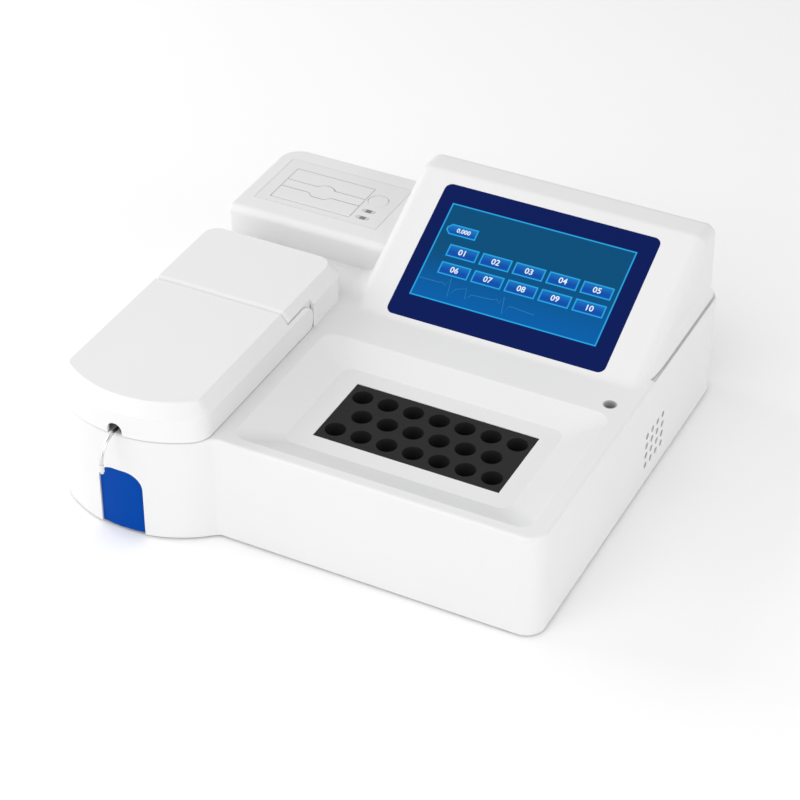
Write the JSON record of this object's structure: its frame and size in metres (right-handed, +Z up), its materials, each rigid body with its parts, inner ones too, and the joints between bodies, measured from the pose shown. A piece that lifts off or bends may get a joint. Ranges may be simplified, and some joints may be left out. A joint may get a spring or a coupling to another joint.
{
  "type": "spectrophotometer",
  "caption": "Bench spectrophotometer with a hinged measuring lid, aspirating probe, heated tube block in a sloped tray, tilted touch screen and strip printer.",
  "frame": {"origin": "centre of the bottom of the bounding box, on the table", "axes": "+X to the user's right, +Y to the rear, +Z up"},
  "size_m": [0.384, 0.3964, 0.1524],
  "materials": {
    "white_housing": "fine texture",
    "white_lid": "satin",
    "grey_plastic": "matte",
    "blue_trigger": "satin",
    "block_black": "black anodised",
    "aluminium": "machined",
    "steel": "bright",
    "zinc_steel": "zinc plated sheet",
    "screen_glass": "gloss black glass",
    "display": "lit panel",
    "circuit_board": "solder mask",
    "black_plastic": "matte",
    "rubber_feet": "matte",
    "silicone_tube": "translucent",
    "white_nylon": "matte",
    "optical_glass": "polished",
    "filter_glass": "coated",
    "lens_dark": "gloss",
    "paper": "matte paper",
    "insulation": "foam",
    "spring_steel": "bright wire"
  },
  "bodies": {
    "case": {"main_housing": "white_housing", "lid_rear_cover": "white_lid", "hinge_pins": "steel", "base_plate": "zinc_steel", "foot_front_left": "rubber_feet", "foot_front_right": "rubber_feet", "foot_rear_left": "rubber_feet", "foot_rear_right": "rubber_feet", "case_screws": "steel", "trigger_bracket": "zinc_steel", "trigger_spring": "spring_steel", "trigger_switch": "black_plastic", "aspirating_probe": "steel", "probe_sleeve": "white_nylon", "probe_clip": "white_nylon", "flow_cell_holder": "aluminium", "flow_cell": "optical_glass", "photodetector": "circuit_board", "filter_motor": "black_plastic", "optics_bracket": "zinc_steel", "lamp_housing": "aluminium", "condenser_lens": "optical_glass", "halogen_lamp": "optical_glass", "pump_motor": "zinc_steel", "pump_head": "grey_plastic", "pump_tube": "silicone_tube", "sample_tubing": "silicone_tube", "incubator_block": "block_black", "heater_plate": "aluminium", "insulation_tray": "insulation", "tube_well_liner": "black_plastic", "touch_glass": "screen_glass", "display_panel": "display", "display_frame": "zinc_steel", "main_board": "circuit_board", "power_supply": "zinc_steel", "rear_panel": "zinc_steel", "power_inlet": "black_plastic", "switch_body": "black_plastic", "usb_port": "steel", "waste_grommet": "black_plastic", "fan_frame": "black_plastic", "printer_bezel": "white_lid", "print_head": "black_plastic", "paper_bucket": "grey_plastic", "indicator_lenses": "lens_dark"},
    "lid": {"measuring_lid": "white_lid"},
    "trigger": {"aspirate_trigger": "blue_trigger"},
    "feed_button": {"feed_button": "white_lid"},
    "printer_door": {"printer_door": "white_lid"},
    "platen": {"platen_roller": "black_plastic"},
    "paper_roll": {"paper_roll": "paper"},
    "rocker": {"power_rocker": "black_plastic"},
    "filter_wheel": {"filter_wheel": "block_black", "interference_filters": "filter_glass"},
    "pump_rotor": {"pump_rotor": "white_nylon"},
    "pump_roller_1": {"pump_roller_1": "steel"},
    "pump_roller_2": {"pump_roller_2": "steel"},
    "pump_roller_3": {"pump_roller_3": "steel"},
    "fan": {"fan_impeller": "black_plastic"}
  },
  "joints": [
    {"name": "lid_hinge", "type": "hinge", "parent": "case", "child": "lid", "pos_m": [-0.12975, -0.00625, 0.099], "axis": [-1, 0, 0], "range_deg": [0, 88]},
    {"name": "trigger_slide", "type": "slide", "parent": "case", "child": "trigger", "axis": [0, 1, 0], "range_m": [0, 0.003], "stiffness_N_per_m": 250, "springref_m": -0.002, "deforming": ["trigger_spring"]},
    {"name": "button_press", "type": "slide", "parent": "case", "child": "feed_button", "axis": [0, 0, -1], "range_m": [0, 0.0008], "stiffness_N_per_m": 400, "springref_m": -0.0005},
    {"name": "door_hinge", "type": "hinge", "parent": "case", "child": "printer_door", "pos_m": [-0.1334, 0.12555, 0.113], "axis": [1, 0, 0], "range_deg": [0, 95]},
    {"name": "platen_spin", "type": "hinge", "parent": "printer_door", "child": "platen", "pos_m": [-0.1334, 0.14685, 0.1066], "axis": [1, 0, 0], "continuous": true},
    {"name": "paper_spin", "type": "hinge", "parent": "case", "child": "paper_roll", "pos_m": [-0.1334, 0.14055, 0.0875], "axis": [1, 0, 0], "continuous": true},
    {"name": "rocker_tilt", "type": "hinge", "parent": "case", "child": "rocker", "pos_m": [0.106, 0.19395, 0.036], "axis": [-1, 0, 0], "range_deg": [0, 14]},
    {"name": "filter_turn", "type": "hinge", "parent": "case", "child": "filter_wheel", "pos_m": [-0.12975, -0.02525, 0.044], "axis": [0, 1, 0], "continuous": true},
    {"name": "pump_spin", "type": "hinge", "parent": "case", "child": "pump_rotor", "pos_m": [-0.15975, -0.05825, 0.06], "axis": [0, 0, 1], "continuous": true},
    {"name": "roller_1_spin", "type": "hinge", "parent": "pump_rotor", "child": "pump_roller_1", "pos_m": [-0.15975, -0.04965, 0.059], "axis": [0, 0, 1], "continuous": true},
    {"name": "roller_2_spin", "type": "hinge", "parent": "pump_rotor", "child": "pump_roller_2", "pos_m": [-0.1672, -0.06255, 0.059], "axis": [0, 0, 1], "continuous": true},
    {"name": "roller_3_spin", "type": "hinge", "parent": "pump_rotor", "child": "pump_roller_3", "pos_m": [-0.1523, -0.06255, 0.059], "axis": [0, 0, 1], "continuous": true},
    {"name": "fan_spin", "type": "hinge", "parent": "case", "child": "fan", "pos_m": [0.062, 0.18645, 0.043], "axis": [0, 1, 0], "continuous": true}
  ],
  "couplings": [
    {"joint": "roller_1_spin", "follows": "pump_spin", "ratio": -3.8667},
    {"joint": "roller_2_spin", "follows": "pump_spin", "ratio": -3.8667},
    {"joint": "roller_3_spin", "follows": "pump_spin", "ratio": -3.8667}
  ]
}
